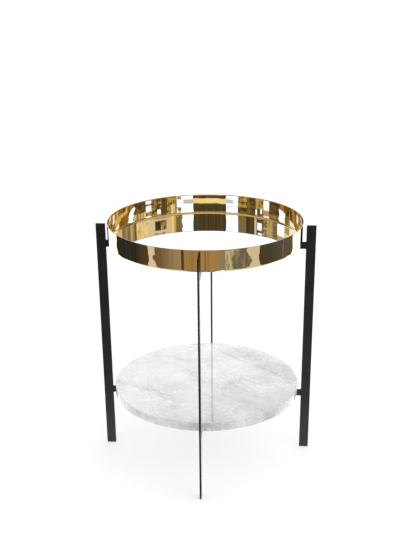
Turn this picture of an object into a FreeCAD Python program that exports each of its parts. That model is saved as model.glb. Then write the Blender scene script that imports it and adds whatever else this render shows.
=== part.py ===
import FreeCAD, Part
import math
import os

# Wine table: two ladder frames of flat bar stand crossed, a spun tray rests on the upper cross
# between the leg tips, and a stone disc rests on the lower cross.
# Millimetres, +Z up, origin on the floor under the middle of the table.
# The legs stand on the four half-axes: left -X, right +X, front -Y, rear +Y.

# Flat bar of the frame
bar_thickness = 4.0
leg_width = 22.0
crossbar_height = 16.0
bar_edge_radius = 0.5
leg_tip_chamfer_share = 0.6

# Heights above the floor
leg_tip_height = 570.0
leg_tip_rise = 39.0
shelf_seat_height = 157.5

# Half-laps where the crossbars cross
lap_clearance = 0.1
lap_depth_share = 0.5

# Spun tray
tray_diameter = 444.0
tray_height = 48.5
tray_wall = 1.5
tray_corner_radius = 4.5
tray_rim_chamfer = 0.4
tray_side_clearance = 7.0

# Stone shelf
shelf_side_clearance = 9.0
shelf_thickness = 20.0
shelf_arris = 1.2

# Rest pads on the arms of both crosses
pad_thickness = 1.5
pad_length = 36.0
pad_side_margin = 0.3
pad_rim_inset = 8.0

# Foot glides
glide_thickness = 2.0
glide_margin = 0.3
glide_edge_radius = 0.6

# Cuts run past the faces that they open by this much
overrun = 2.0

# Places worked out from the sizes above
tray_radius = tray_diameter / 2
leg_inner_radius = tray_radius + tray_side_clearance
leg_outer_radius = leg_inner_radius + leg_width
shelf_radius = leg_inner_radius - shelf_side_clearance
tray_seat_height = leg_tip_height - leg_tip_rise
half_bar = bar_thickness / 2

up = FreeCAD.Vector(0, 0, 1)
along = FreeCAD.Vector(1, 0, 0)
centre = FreeCAD.Vector(0, 0, 0)
tolerance = 1e-6
turns = {"right": 0, "rear": 90, "left": 180, "front": 270}


def block(x, y, z):
    """A box between the low and the high value of each pair."""
    low = FreeCAD.Vector(x[0], y[0], z[0])
    return Part.makeBox(x[1] - x[0], y[1] - y[0], z[1] - z[0], low)


def turned(shape, degrees):
    """A copy of the shape, turned about the table's upright axis."""
    copy = shape.copy()
    copy.rotate(centre, up, degrees)
    return copy


def edges_along(shape, direction):
    """The straight edges that run along a direction."""
    def runs_along(edge):
        """Whether an edge starts off in that direction."""
        return edge.tangentAt(edge.FirstParameter).cross(direction).Length < tolerance

    return [edge for edge in shape.Edges if runs_along(edge)]


def leg():
    """The right leg: a flat bar on end, wide side along the radius, with rolled edges and a dressed tip."""
    height = (glide_thickness, leg_tip_height)
    bar = block((leg_inner_radius, leg_outer_radius), (-half_bar, half_bar), height)
    bar = bar.makeFillet(bar_edge_radius, edges_along(bar, up))
    tip_edges = [edge for edge in bar.Edges if edge.BoundBox.ZMin > leg_tip_height - bar_edge_radius]
    return bar.makeChamfer(bar_edge_radius * leg_tip_chamfer_share, tip_edges)


def glide():
    """The right leg's foot glide: a thin slip under the bar's end, rounded where it meets the floor."""
    x = (leg_inner_radius + glide_margin, leg_outer_radius - glide_margin)
    y = (glide_margin - half_bar, half_bar - glide_margin)
    slip = block(x, y, (0, glide_thickness))
    floor_edges = [edge for edge in slip.Edges if edge.BoundBox.ZMax < glide_thickness / 2]
    return slip.makeFillet(glide_edge_radius, floor_edges)


def crossbar(top, slot_from_above):
    """A bar on edge along X between two legs, with the half-lap slot that the other bar drops into."""
    bottom = top - crossbar_height
    bar = block((-leg_inner_radius, leg_inner_radius), (-half_bar, half_bar), (bottom, top))
    bar = bar.makeFillet(bar_edge_radius, edges_along(bar, along))
    lap_level = bottom + crossbar_height * lap_depth_share
    slot_half = half_bar + lap_clearance
    slot_height = (lap_level, top + overrun) if slot_from_above else (bottom - overrun, lap_level)
    slot = block((-slot_half, slot_half), (-half_bar - overrun, half_bar + overrun), slot_height)
    return bar.cut(slot)


def pad(flat_radius, seat):
    """The right arm's rest pad: a cut strip, its outer end just inside the flat that it carries."""
    outer = flat_radius - pad_rim_inset
    half_width = half_bar - pad_side_margin
    return block((outer - pad_length, outer), (-half_width, half_width), (seat, seat + pad_thickness))


def arc(middle, radius, start, end):
    """An arc in the upright plane of a profile, between two angles in degrees."""
    def place(degrees):
        """The point of the circle at an angle."""
        angle = math.radians(degrees)
        return middle + FreeCAD.Vector(radius * math.cos(angle), 0, radius * math.sin(angle))

    return Part.Arc(place(start), place((start + end) / 2), place(end)).toShape()


def turned_solid(stretches):
    """A solid of revolution about the upright axis. Its profile's corners and arcs are joined by lines."""
    edges = []
    ends = [stretch.Vertexes for stretch in stretches]
    for stretch, before, after in zip(stretches, ends, ends[1:] + ends[:1]):
        if stretch.ShapeType == "Edge":
            edges.append(stretch)
        if not before[-1].Point.isEqual(after[0].Point, tolerance):
            edges.append(Part.makeLine(before[-1].Point, after[0].Point))
    return Part.Face(Part.Wire(edges)).revolve(centre, up, 360)


def corner(radius, height):
    """A sharp corner of a profile."""
    return Part.Vertex(radius, 0, height)


def tray(bottom):
    """The spun tray: one sheet turned up into an upright wall, with a swept corner and an eased rim."""
    bend = FreeCAD.Vector(tray_radius - tray_corner_radius, 0, bottom + tray_corner_radius)
    inner_radius = tray_radius - tray_wall
    top = bottom + tray_height
    return turned_solid([
        corner(0, bottom),
        arc(bend, tray_corner_radius, -90, 0),
        corner(tray_radius, top - tray_rim_chamfer),
        corner(tray_radius - tray_rim_chamfer, top),
        corner(inner_radius + tray_rim_chamfer, top),
        corner(inner_radius, top - tray_rim_chamfer),
        arc(bend, tray_corner_radius - tray_wall, 0, -90),
        corner(0, bottom + tray_wall),
    ])


def shelf(bottom):
    """The stone disc, its two sharp edges taken off by an arris."""
    top = bottom + shelf_thickness
    return turned_solid([
        corner(0, bottom),
        corner(shelf_radius - shelf_arris, bottom),
        corner(shelf_radius, bottom + shelf_arris),
        corner(shelf_radius, top - shelf_arris),
        corner(shelf_radius - shelf_arris, top),
        corner(0, top),
    ])


def export(name, shape):
    """Writes one closed solid under its node's name."""
    if not shape.isValid() or len(shape.Solids) != 1:
        raise ValueError(f"{name} is not one valid solid")
    shape.Solids[0].exportStep(f"parts/{name}.step")


os.makedirs("parts", exist_ok=True)

for side, degrees in turns.items():
    export(f"leg_{side}", turned(leg(), degrees))
    export(f"foot_glide_{side}", turned(glide(), degrees))
    export(f"tray_pad_{side}", turned(pad(tray_radius - tray_corner_radius, tray_seat_height), degrees))
    export(f"shelf_pad_{side}", turned(pad(shelf_radius - shelf_arris, shelf_seat_height), degrees))

for level, top in (("upper", tray_seat_height), ("lower", shelf_seat_height)):
    export(f"{level}_crossbar_sideways", crossbar(top, slot_from_above=True))
    export(f"{level}_crossbar_lengthways", turned(crossbar(top, slot_from_above=False), turns["rear"]))

export("brass_tray", tray(tray_seat_height + pad_thickness))
export("marble_shelf", shelf(shelf_seat_height + pad_thickness))
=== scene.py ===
"""Wine table: a polished brass tray and a marble disc on a crossed flat-bar frame, in a plain white studio.

Everything is in metres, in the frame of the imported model: +Z up, the legs on the four half-axes and the
front leg on -Y. Smooth surfaces stand for the tray and the disc, small weld fillets are added to the
frame, and every other node of the model keeps its mesh and gets a finish.
"""

import logging
import math
from dataclasses import dataclass, field
from enum import Enum
from functools import partial, reduce
from typing import Any, Mapping, Sequence

import bpy
import numpy as np
from mathutils import Matrix, Vector
from numpy.typing import NDArray

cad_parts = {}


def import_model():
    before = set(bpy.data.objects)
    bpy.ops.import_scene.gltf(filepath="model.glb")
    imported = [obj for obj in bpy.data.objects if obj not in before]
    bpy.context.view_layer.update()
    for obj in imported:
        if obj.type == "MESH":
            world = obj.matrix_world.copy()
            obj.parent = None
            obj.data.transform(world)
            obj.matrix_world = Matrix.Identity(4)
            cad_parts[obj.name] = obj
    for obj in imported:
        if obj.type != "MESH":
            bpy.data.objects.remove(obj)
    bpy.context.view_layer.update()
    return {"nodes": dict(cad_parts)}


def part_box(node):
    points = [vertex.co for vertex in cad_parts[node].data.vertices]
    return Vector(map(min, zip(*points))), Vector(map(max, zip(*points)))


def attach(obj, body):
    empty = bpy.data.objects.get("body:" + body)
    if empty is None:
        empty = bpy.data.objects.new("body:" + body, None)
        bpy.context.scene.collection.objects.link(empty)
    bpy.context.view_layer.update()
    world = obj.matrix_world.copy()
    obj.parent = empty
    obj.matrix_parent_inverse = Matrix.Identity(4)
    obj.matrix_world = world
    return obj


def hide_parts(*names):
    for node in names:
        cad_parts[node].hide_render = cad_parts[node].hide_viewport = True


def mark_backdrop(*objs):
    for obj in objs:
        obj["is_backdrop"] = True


Array = NDArray[np.float64]
Indices = NDArray[np.int64]
Colour = tuple[float, float, float]
Point = tuple[float, float]
Span = tuple[float, float]
Socket = bpy.types.NodeSocket

LOG = logging.getLogger("wine_table")
MM = 0.001
FULL_TURN = 2.0 * math.pi
NOISE_MIDDLE = 0.5
UP = np.array([0.0, 0.0, 1.0])


class Side(Enum):
    """The four arms of the frame, by the turn of each from the right-hand one in degrees."""

    RIGHT = 0
    REAR = 90
    LEFT = 180
    FRONT = 270

    @property
    def label(self) -> str:
        """The word that the arm's nodes end in."""
        return self.name.lower()

    @property
    def outward(self) -> Array:
        """The unit vector from the table's axis along the arm."""
        angle = math.radians(self.value)
        return np.array([math.cos(angle), math.sin(angle), 0.0])

    @property
    def bar(self) -> str:
        """The word for the crossbar that runs along the arm."""
        return "sideways" if self in (Side.LEFT, Side.RIGHT) else "lengthways"


class Body(Enum):
    """The bodies that come apart."""

    FRAME = "frame"
    TRAY = "tray"
    SHELF = "shelf"


@dataclass(frozen=True)
class Grain:
    """A fractal noise: its repeats in each unit, its octaves, and what each octave keeps of the last."""

    frequency: float
    octaves: float = 4.0
    roughness: float = 0.5


class Nodes:
    """The nodes of a material or of the surroundings, with a short call for each kind in use."""

    def __init__(self, owner: bpy.types.Material | bpy.types.World) -> None:
        """Empties the owner's node tree.

        Args:
            owner: the material or world that the nodes belong to.
        """
        owner.use_nodes = True
        self.owner = owner
        self.tree = owner.node_tree
        self.tree.nodes.clear()

    @classmethod
    def material(cls, name: str) -> "Nodes":
        """Starts a new material."""
        return cls(bpy.data.materials.new(name))

    def node(self, kind: str, inputs: Mapping[Any, Any] | None = None, **settings: Any) -> bpy.types.Node:
        """Adds a node, sets its properties and fills or links its inputs.

        Args:
            kind: the node's type, without the ShaderNode in front.
            inputs: socket name or number to a constant or to another node's output.
            settings: properties of the node itself.

        Returns:
            The new node.
        """
        made = self.tree.nodes.new("ShaderNode" + kind)
        for key, value in settings.items():
            setattr(made, key, value)
        for key, value in (inputs or {}).items():
            if isinstance(value, Socket):
                self.tree.links.new(value, made.inputs[key])
            else:
                made.inputs[key].default_value = value
        return made

    def place(self) -> Socket:
        """The point on the surface, in metres, as the patterns read it."""
        return self.node("TexCoord").outputs["Object"]

    def stretched(self, vector: Socket, scale: Sequence[float], turn: float) -> Socket:
        """A point, turned about Z and then scaled.

        Args:
            vector: the point.
            scale: the factor along each axis after the turn.
            turn: the angle in radians.

        Returns:
            The mapped coordinates.
        """
        turned = self.node("Mapping", {"Vector": vector, "Rotation": (0.0, 0.0, turn)})
        return self.node("Mapping", {"Vector": turned.outputs[0], "Scale": tuple(scale)}).outputs[0]

    def noise(self, vector: Socket, grain: Grain, output: int = 0) -> Socket:
        """Fractal noise about 0.5.

        Args:
            vector: the coordinates.
            grain: how coarse and how rough the noise is.
            output: 0 for a value, 1 for a colour of three independent values.

        Returns:
            The noise.
        """
        inputs = {"Vector": vector, "Scale": grain.frequency}
        inputs |= {"Detail": grain.octaves, "Roughness": grain.roughness}
        return self.node("TexNoise", inputs).outputs[output]

    def maths(self, operation: str, first: Any, second: Any = 0.0) -> Socket:
        """One arithmetic step on two values."""
        return self.node("Math", {0: first, 1: second}, operation=operation).outputs[0]

    def largest(self, values: Sequence[Socket]) -> Socket:
        """The largest of some values."""
        return reduce(partial(self.maths, "MAXIMUM"), values)

    def vectors(self, operation: str, first: Socket, second: Any) -> Socket:
        """One arithmetic step on two vectors."""
        return self.node("VectorMath", {0: first, 1: second}, operation=operation).outputs[0]

    def along(self, vector: Socket, direction: Sequence[float]) -> Socket:
        """How far a point lies along a direction."""
        made = self.node("VectorMath", {0: vector, 1: tuple(direction)}, operation="DOT_PRODUCT")
        return made.outputs["Value"]

    def between(self, value: Socket, low: float, high: float, start: float = 0.0, end: float = 1.0) -> Socket:
        """Maps a value with soft ends from one range to another.

        Args:
            value: what is mapped.
            low: the value that gives the start.
            high: the value that gives the end.
            start: the result at and below the low value.
            end: the result at and above the high value.

        Returns:
            The mapped value.
        """
        inputs = {"Value": value, "From Min": low, "From Max": high, "To Min": start, "To Max": end}
        return self.node("MapRange", inputs, interpolation_type="SMOOTHSTEP").outputs[0]

    def blend(self, share: Socket, first: Colour | Socket, second: Colour | Socket) -> Socket:
        """Mixes two colours.

        Args:
            share: how much of the second colour shows.
            first: the colour at a share of 0.
            second: the colour at a share of 1.

        Returns:
            The mixed colour.
        """
        made = self.node("Mix", data_type="RGBA")
        sockets = {item.identifier: item for item in made.inputs}
        self.tree.links.new(share, sockets["Factor_Float"])
        for name, value in (("A_Color", first), ("B_Color", second)):
            if isinstance(value, Socket):
                self.tree.links.new(value, sockets[name])
            else:
                sockets[name].default_value = (*value, 1.0)
        return next(item for item in made.outputs if item.identifier == "Result_Color")

    def bump(self, height: Socket, depth: float, normal: Socket | None = None) -> Socket:
        """A bumped normal.

        Args:
            height: the height pattern, from 0 to 1.
            depth: how deep a height of 1 is, in metres.
            normal: a normal that is already bumped.

        Returns:
            The new normal.
        """
        inputs = {"Height": height, "Distance": depth, "Strength": 1.0}
        if normal is not None:
            inputs["Normal"] = normal
        return self.node("Bump", inputs).outputs[0]

    def output(self, shader: bpy.types.Node) -> bpy.types.Material:
        """Ends the material in a shader."""
        self.node("OutputMaterial", {"Surface": shader.outputs[0]})
        return self.owner

    def surface(self, **inputs: Any) -> bpy.types.Material:
        """Ends the material in a principled surface.

        Args:
            inputs: socket names, with underscores for spaces, and their values or links.

        Returns:
            The finished material.
        """
        named = {key.replace("_", " "): value for key, value in inputs.items()}
        return self.output(self.node("BsdfPrincipled", named))

    def glow(self, colour: Colour | Socket, strength: float | Socket = 1.0) -> bpy.types.Node:
        """A shader that gives off its own light."""
        value = colour if isinstance(colour, Socket) else (*colour, 1.0)
        return self.node("Emission", {"Color": value, "Strength": strength})

    def mirrored(self) -> Socket:
        """Tells the light by which the eye sees a surface in a mirror or through glass.

        Returns:
            1 for that light and 0 for all other light.
        """
        path = self.node("LightPath").outputs
        seen = self.maths("MAXIMUM", path["Is Glossy Ray"], path["Is Transmission Ray"])
        return self.maths("MULTIPLY", seen, self.maths("LESS_THAN", path["Diffuse Depth"], 0.5))

    def mirrored_past(self, times: int) -> Socket:
        """1 where a surface is mirrored more often than that on its way to the eye, and 0 otherwise."""
        return self.maths("GREATER_THAN", self.node("LightPath").outputs["Glossy Depth"], times + 0.5)


@dataclass(frozen=True)
class PowderCoat:
    """Satin black powder coat: a fine orange peel, with a sheen that drifts a little."""

    colour: Colour = (0.0085, 0.0085, 0.0086)
    pale_colour: Colour = (0.0125, 0.0125, 0.0126)
    gloss: float = 0.26
    drift: Grain = Grain(22.0, 3.0)
    tone_range: Span = (0.35, 0.65)
    sheen_range: Span = (0.3, 0.7)
    sheen: Span = (0.36, 0.46)
    peel: Grain = Grain(520.0, 2.0)
    peel_depth: float = 0.020 * MM
    grit: Grain = Grain(2400.0, 2.0)
    grit_depth: float = 0.004 * MM

    def material(self) -> bpy.types.Material:
        """Builds the coat from a coarse drift of tone, an orange peel and a fine grit.

        Returns:
            The finished material.
        """
        nodes = Nodes.material("powder_coat_black")
        place = nodes.place()
        drift = nodes.noise(place, self.drift)
        peel = nodes.bump(nodes.noise(place, self.peel), self.peel_depth)
        return nodes.surface(
            Base_Color=nodes.blend(nodes.between(drift, *self.tone_range), self.colour, self.pale_colour),
            Roughness=nodes.between(drift, *self.sheen_range, *self.sheen),
            Specular_IOR_Level=self.gloss,
            Normal=nodes.bump(nodes.noise(place, self.grit), self.grit_depth, peel),
        )


@dataclass(frozen=True)
class PolishedBrass:
    """Mirror-polished spun brass: fine rings from the polishing wheel, faint clouds, a duller trimmed rim."""

    colour: Colour = (0.92, 0.76, 0.42)
    warm_colour: Colour = (0.88, 0.68, 0.32)
    rim_colour: Colour = (0.46, 0.42, 0.32)
    rim_roughness: float = 0.22
    rim_depth: Span = (0.90 * MM, 0.45 * MM)
    clouds: Grain = Grain(9.0, 5.0, 0.6)
    tone_range: Span = (0.42, 0.72)
    sheen_range: Span = (0.45, 0.85)
    sheen: Span = (0.012, 0.030)
    rings: Grain = Grain(900.0, 3.0)
    ring_depth: float = 0.0002 * MM

    def material(self, top: float) -> bpy.types.Material:
        """Builds the metal, with rings that follow the distance from the axis and the height.

        Args:
            top: the height of the rim.

        Returns:
            The finished material.
        """
        nodes = Nodes.material("brass_polished")
        place = nodes.place()
        cloud = nodes.noise(place, self.clouds)
        parts = nodes.node("SeparateXYZ", {0: place}).outputs
        flat = nodes.node("CombineXYZ", {"X": parts["X"], "Y": parts["Y"]}).outputs[0]
        away = nodes.node("VectorMath", {0: flat}, operation="LENGTH").outputs["Value"]
        section = nodes.node("CombineXYZ", {"X": away, "Y": parts["Z"]}).outputs[0]
        on_rim = nodes.between(parts["Z"], *(top - depth for depth in self.rim_depth))
        metal = nodes.blend(nodes.between(cloud, *self.tone_range), self.colour, self.warm_colour)
        sheen = nodes.between(cloud, *self.sheen_range, *self.sheen)
        return nodes.surface(
            Base_Color=nodes.blend(on_rim, metal, self.rim_colour),
            Metallic=1.0,
            Roughness=nodes.maths("MAXIMUM", sheen, nodes.maths("MULTIPLY", on_rim, self.rim_roughness)),
            Normal=nodes.bump(nodes.noise(section, self.rings), self.ring_depth),
        )


@dataclass(frozen=True)
class Vein:
    """One grey vein: a core in a soft halo, on a line across the disc's top that the warp makes wander."""

    start: Point
    end: Point
    half_width: float
    depth: float
    core_share: float = 0.14
    halo_share: float = 0.45
    fading: Span = (0.35, 0.55)
    lean: float = 0.3

    def mask(self, nodes: Nodes, place: Socket, top: float) -> Socket:
        """How strongly the vein shows: full on its line, fading to the sides and at both ends.

        The vein is a sheet through the stone that leans sideways as it goes down from the top.

        Args:
            nodes: the material being built.
            place: the warped point.
            top: the height of the disc's top.

        Returns:
            The strength, up to the vein's depth.
        """
        start, end = np.array(self.start), np.array(self.end)
        length = float(np.linalg.norm(end - start))
        run = (end - start) / length
        across = np.array([-run[1], run[0]])
        middle = (start + end) / 2
        on_line = float(across @ middle) + self.lean * top
        off_line = nodes.maths("SUBTRACT", nodes.along(place, (*across, self.lean)), on_line)
        off_middle = nodes.maths("SUBTRACT", nodes.along(place, (*run, 0.0)), float(run @ middle))
        beside, aside = nodes.maths("ABSOLUTE", off_line), nodes.maths("ABSOLUTE", off_middle)
        core = nodes.between(beside, 0.0, self.core_share * self.half_width, self.depth, 0.0)
        halo = nodes.between(beside, 0.0, self.half_width, self.halo_share * self.depth, 0.0)
        ends = nodes.between(aside, *(share * length for share in self.fading), 1.0, 0.0)
        return nodes.maths("MULTIPLY", nodes.maths("MAXIMUM", core, halo), ends)


@dataclass(frozen=True)
class FineLines:
    """A family of fine lines in the stone.

    The half width counts in the values of the pattern that the lines come from. The squeeze shrinks
    the coordinates along the slant, which draws the lines out that way.
    """

    frequency: float
    half_width: float
    squeeze: float | None = None
    strength: float = 1.0


@dataclass(frozen=True)
class VeinedMarble:
    """Polished white marble: lightly clouded, with feathered grey veins along one slant and fine threads."""

    white: Colour = (0.912, 0.918, 0.950)
    # painted shade: the side face is coloured darker and warmer than the top, for the dimmer light that falls
    # on it
    edge_white: Colour = (0.828, 0.808, 0.806)
    cloud: Colour = (0.665, 0.672, 0.702)
    grey: Colour = (0.240, 0.242, 0.256)
    gloss: float = 0.40
    sheen_range: Span = (0.2, 0.8)
    sheen: Span = (0.030, 0.045)
    slant: float = math.radians(40.0)
    warps: tuple[tuple[Grain, float], ...] = ((Grain(9.0, 3.0), 24.0 * MM), (Grain(60.0, 3.0), 9.0 * MM))
    clouds: Grain = Grain(13.0, 8.0, 0.66)
    cloud_squeeze: float = 0.75
    # clouds grow toward the right as the stone's own, and toward the front as painted shade where the top
    # mirrors less light
    cloud_drift: tuple[float, float, float] = (0.66, -0.54, 0.0)
    cloud_range: Span = (0.42, 0.74)
    strands: Grain = Grain(85.0, 5.0, 0.7)
    strand_squeeze: float = 0.15
    strand_range: Span = (0.42, 0.58)
    strand_strength: Span = (0.3, 1.0)
    threads: FineLines = FineLines(30.0, 0.028)
    feathers: FineLines = FineLines(75.0, 0.060, 0.35, 0.90)
    seams: FineLines = FineLines(62.0, 0.13, 0.6, 0.65)
    crackle: FineLines = FineLines(85.0, 0.20, 0.35, 0.80)
    thread_roughness: float = 0.6
    line_strength: float = 0.52
    patches: Grain = Grain(15.0, 3.0)
    patch_drift: float = 0.6
    patch_range: Span = (0.20, 0.80)
    patch_strength: Span = (0.25, 1.0)
    crystal_strength: float = 0.22
    grain: Grain = Grain(190.0, 3.0, 0.7)
    grain_range: Span = (0.42, 0.66)
    grain_strength: float = 0.32
    edge_depth: Span = (2.0 * MM, 1.0 * MM)
    edge_clearing: float = 0.11
    mottles: Grain = Grain(42.0, 5.0, 0.6)
    mottle_range: Span = (0.45, 0.68)
    mottle_strength: float = 0.36
    veins: tuple[Vein, ...] = (
        Vein((-0.240, 0.002), (-0.050, -0.115), 0.020, 0.66),
        Vein((-0.165, 0.163), (-0.030, 0.095), 0.028, 0.56),
        Vein((-0.100, 0.105), (-0.010, -0.005), 0.026, 0.54),
        Vein((0.005, 0.192), (0.222, -0.010), 0.034, 0.78),
        Vein((0.040, 0.205), (0.220, 0.050), 0.070, 0.58, halo_share=0.6),
        Vein((0.060, 0.140), (0.185, 0.040), 0.040, 0.50),
        Vein((0.050, -0.008), (0.125, -0.090), 0.045, 0.38),
        Vein((0.075, -0.090), (0.170, -0.205), 0.040, 0.52),
        Vein((-0.075, -0.130), (-0.005, -0.205), 0.030, 0.36),
    )

    def warped(self, nodes: Nodes) -> Socket:
        """The point on the surface, pushed about by a coarse and a fine noise.

        Args:
            nodes: the material being built.

        Returns:
            The point that the veins and lines read.
        """
        place = nodes.place()
        for grain, reach in self.warps:
            noise = nodes.noise(nodes.place(), grain, output=1)
            centred = nodes.vectors("SUBTRACT", noise, (NOISE_MIDDLE,) * 3)
            place = nodes.vectors("ADD", place, nodes.vectors("MULTIPLY", centred, (2.0 * reach,) * 3))
        return place

    def slanted(self, nodes: Nodes, vector: Socket, squeeze: float) -> Socket:
        """A point, turned to the stone's slant and squeezed along it."""
        return nodes.stretched(vector, (squeeze, 1.0, 1.0), self.slant)

    def wandering(self, nodes: Nodes, place: Socket, lines: FineLines) -> Socket:
        """Thin wandering lines, where a noise crosses its middle value.

        Args:
            nodes: the material being built.
            place: the warped point.
            lines: the family of lines.

        Returns:
            The lines' strength on a line, fading to 0 beside it.
        """
        vector = place if lines.squeeze is None else self.slanted(nodes, place, lines.squeeze)
        noise = nodes.noise(vector, Grain(lines.frequency, roughness=self.thread_roughness))
        off = nodes.maths("ABSOLUTE", nodes.maths("SUBTRACT", noise, NOISE_MIDDLE))
        return nodes.between(off, 0.0, lines.half_width, lines.strength, 0.0)

    def cells(self, nodes: Nodes, place: Socket, lines: FineLines) -> tuple[Socket, Socket]:
        """Patches of crystal with a hairline between neighbours.

        A patch holds the points that lie nearest to its seed, and the hairline runs where two seeds
        are equally near.

        Args:
            nodes: the material being built.
            place: the warped point.
            lines: the family of hairlines, with the number of patches in a metre.

        Returns:
            A tone from 0 to 1 that is even on each patch, and the lines' strength, 0 beside them.
        """
        inputs = {"Vector": self.slanted(nodes, place, lines.squeeze), "Scale": lines.frequency}
        colour = nodes.node("TexVoronoi", inputs).outputs["Color"]
        tone = nodes.node("SeparateColor", {0: colour}).outputs[0]
        edge = nodes.node("TexVoronoi", inputs, feature="DISTANCE_TO_EDGE").outputs["Distance"]
        return tone, nodes.between(edge, 0.0, lines.half_width, lines.strength, 0.0)

    def veining(self, nodes: Nodes, place: Socket, seams: Socket, drift: Socket, top: float) -> Socket:
        """All that is grey in the stone: veins split into strands, and fine lines that come in patches.

        Args:
            nodes: the material being built.
            place: the warped point.
            seams: the hairlines between the crystals.
            drift: how the clouds grow across the disc, partly as painted shade toward the front.
            top: the height of the disc's top.

        Returns:
            The share of grey.
        """
        veined = nodes.largest([vein.mask(nodes, place, top) for vein in self.veins])
        strands = nodes.noise(self.slanted(nodes, place, self.strand_squeeze), self.strands)
        split = nodes.between(strands, *self.strand_range, *self.strand_strength)
        crackle = self.cells(nodes, place, self.crackle)[1]
        wandering = [self.wandering(nodes, place, lines) for lines in (self.threads, self.feathers)]
        lines = nodes.largest([*wandering, seams, crackle])
        uneven = nodes.noise(nodes.place(), self.patches)
        uneven = nodes.maths("ADD", uneven, nodes.maths("MULTIPLY", drift, self.patch_drift))
        patches = nodes.between(uneven, *self.patch_range, *self.patch_strength)
        strength = nodes.maths("ADD", veined, self.line_strength)
        threaded = nodes.maths("MULTIPLY", lines, nodes.maths("MULTIPLY", strength, patches))
        return nodes.maths("MAXIMUM", nodes.maths("MULTIPLY", veined, split), threaded)

    def material(self, top: float) -> bpy.types.Material:
        """Lays clouds, crystal patches, veins with fine lines, mottles on the edge and a grain over white,
        with painted shade on the edge and toward the front of the top.

        Args:
            top: the height of the disc's top.

        Returns:
            The finished material.
        """
        nodes = Nodes.material("marble_polished")
        plain, place = nodes.place(), self.warped(nodes)
        # the drift darkens the top toward the right as cloudier stone and toward the front as painted shade
        drift = nodes.along(plain, self.cloud_drift)
        levels = (top - depth for depth in self.edge_depth)
        on_edge = nodes.between(nodes.along(plain, UP), *levels, 1.0, 0.0)
        # painted shade: the side face below the top takes the darker, warmer edge colour
        tone = nodes.blend(on_edge, self.white, self.edge_white)
        clouds = nodes.noise(self.slanted(nodes, plain, self.cloud_squeeze), self.clouds)
        clouds = nodes.maths("ADD", clouds, drift)
        clouds = nodes.maths("SUBTRACT", clouds, nodes.maths("MULTIPLY", on_edge, self.edge_clearing))
        tone = nodes.blend(nodes.between(clouds, *self.cloud_range), tone, self.cloud)
        crystals, seams = self.cells(nodes, place, self.seams)
        tone = nodes.blend(nodes.between(crystals, 0.0, 1.0, 0.0, self.crystal_strength), tone, self.cloud)
        tone = nodes.blend(self.veining(nodes, place, seams, drift, top), tone, self.grey)
        mottles = nodes.noise(plain, self.mottles)
        mottles = nodes.between(mottles, *self.mottle_range, 0.0, self.mottle_strength)
        tone = nodes.blend(nodes.maths("MULTIPLY", on_edge, mottles), tone, self.grey)
        grain = nodes.noise(plain, self.grain)
        grained = nodes.between(grain, *self.grain_range, 0.0, self.grain_strength)
        return nodes.surface(
            Base_Color=nodes.blend(grained, tone, self.cloud),
            Roughness=nodes.between(grain, *self.sheen_range, *self.sheen),
            Specular_IOR_Level=self.gloss,
        )


@dataclass(frozen=True)
class MattSlip:
    """Matt black rubber or plastic of the slips that the parts rest on."""

    name: str
    colour: Colour = (0.016, 0.016, 0.016)
    pale_colour: Colour = (0.034, 0.033, 0.032)
    roughness: float = 0.75
    grain: Grain = Grain(1500.0, roughness=0.65)
    grain_range: Span = (0.35, 0.75)
    grain_depth: float = 0.04 * MM

    def material(self) -> bpy.types.Material:
        """Builds the slip's surface from one fine grain.

        Returns:
            The finished material.
        """
        nodes = Nodes.material(self.name)
        grain = nodes.noise(nodes.place(), self.grain)
        return nodes.surface(
            Base_Color=nodes.blend(nodes.between(grain, *self.grain_range), self.colour, self.pale_colour),
            Roughness=self.roughness,
            Normal=nodes.bump(grain, self.grain_depth),
        )


def new_piece(name: str, points: Array, faces: Sequence[Indices], material: bpy.types.Material,
              smooth: bool = True) -> bpy.types.Object:
    """Puts arrays of points and faces into a mesh object at the origin.

    Args:
        name: the piece's name.
        points: one row of x, y and z for each vertex.
        faces: arrays of vertex numbers, one row for each face, with one array for each face size.
        material: the finish.
        smooth: whether the faces are shaded as one curved surface.

    Returns:
        The object, linked to the scene.
    """
    mesh = bpy.data.meshes.new(name)
    mesh.vertices.add(len(points))
    mesh.vertices.foreach_set("co", points.astype(np.float32).ravel())
    loops = np.concatenate([rows.ravel() for rows in faces])
    sizes = np.concatenate([np.full(len(rows), rows.shape[1]) for rows in faces])
    mesh.loops.add(len(loops))
    mesh.loops.foreach_set("vertex_index", loops.astype(np.int32))
    mesh.polygons.add(len(sizes))
    mesh.polygons.foreach_set("loop_start", (np.cumsum(sizes) - sizes).astype(np.int32))
    mesh.polygons.foreach_set("use_smooth", np.full(len(sizes), smooth))
    mesh.update(calc_edges=True)
    mesh.validate()
    mesh.materials.append(material)
    piece = bpy.data.objects.new(name, mesh)
    bpy.context.scene.collection.objects.link(piece)
    return piece


def dress(node: bpy.types.Object, material: bpy.types.Material) -> bpy.types.Object:
    """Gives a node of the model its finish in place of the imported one.

    Args:
        node: the node's object.
        material: the finish.

    Returns:
        The same object.
    """
    node.data.materials.clear()
    node.data.materials.append(material)
    return node


def grid_faces(rows: int, columns: int, ring: bool) -> Indices:
    """Quads between neighbouring points of a grid that is stored row by row.

    Args:
        rows: number of rows.
        columns: number of points in a row.
        ring: whether the last column joins the first.

    Returns:
        One row of four vertex numbers for each quad.
    """
    row, column = np.indices((rows - 1, columns if ring else columns - 1)).reshape(2, -1)
    after = (column + 1) % columns
    start, above = row * columns, (row + 1) * columns
    return np.stack([start + column, start + after, above + after, above + column], axis=1)


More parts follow.
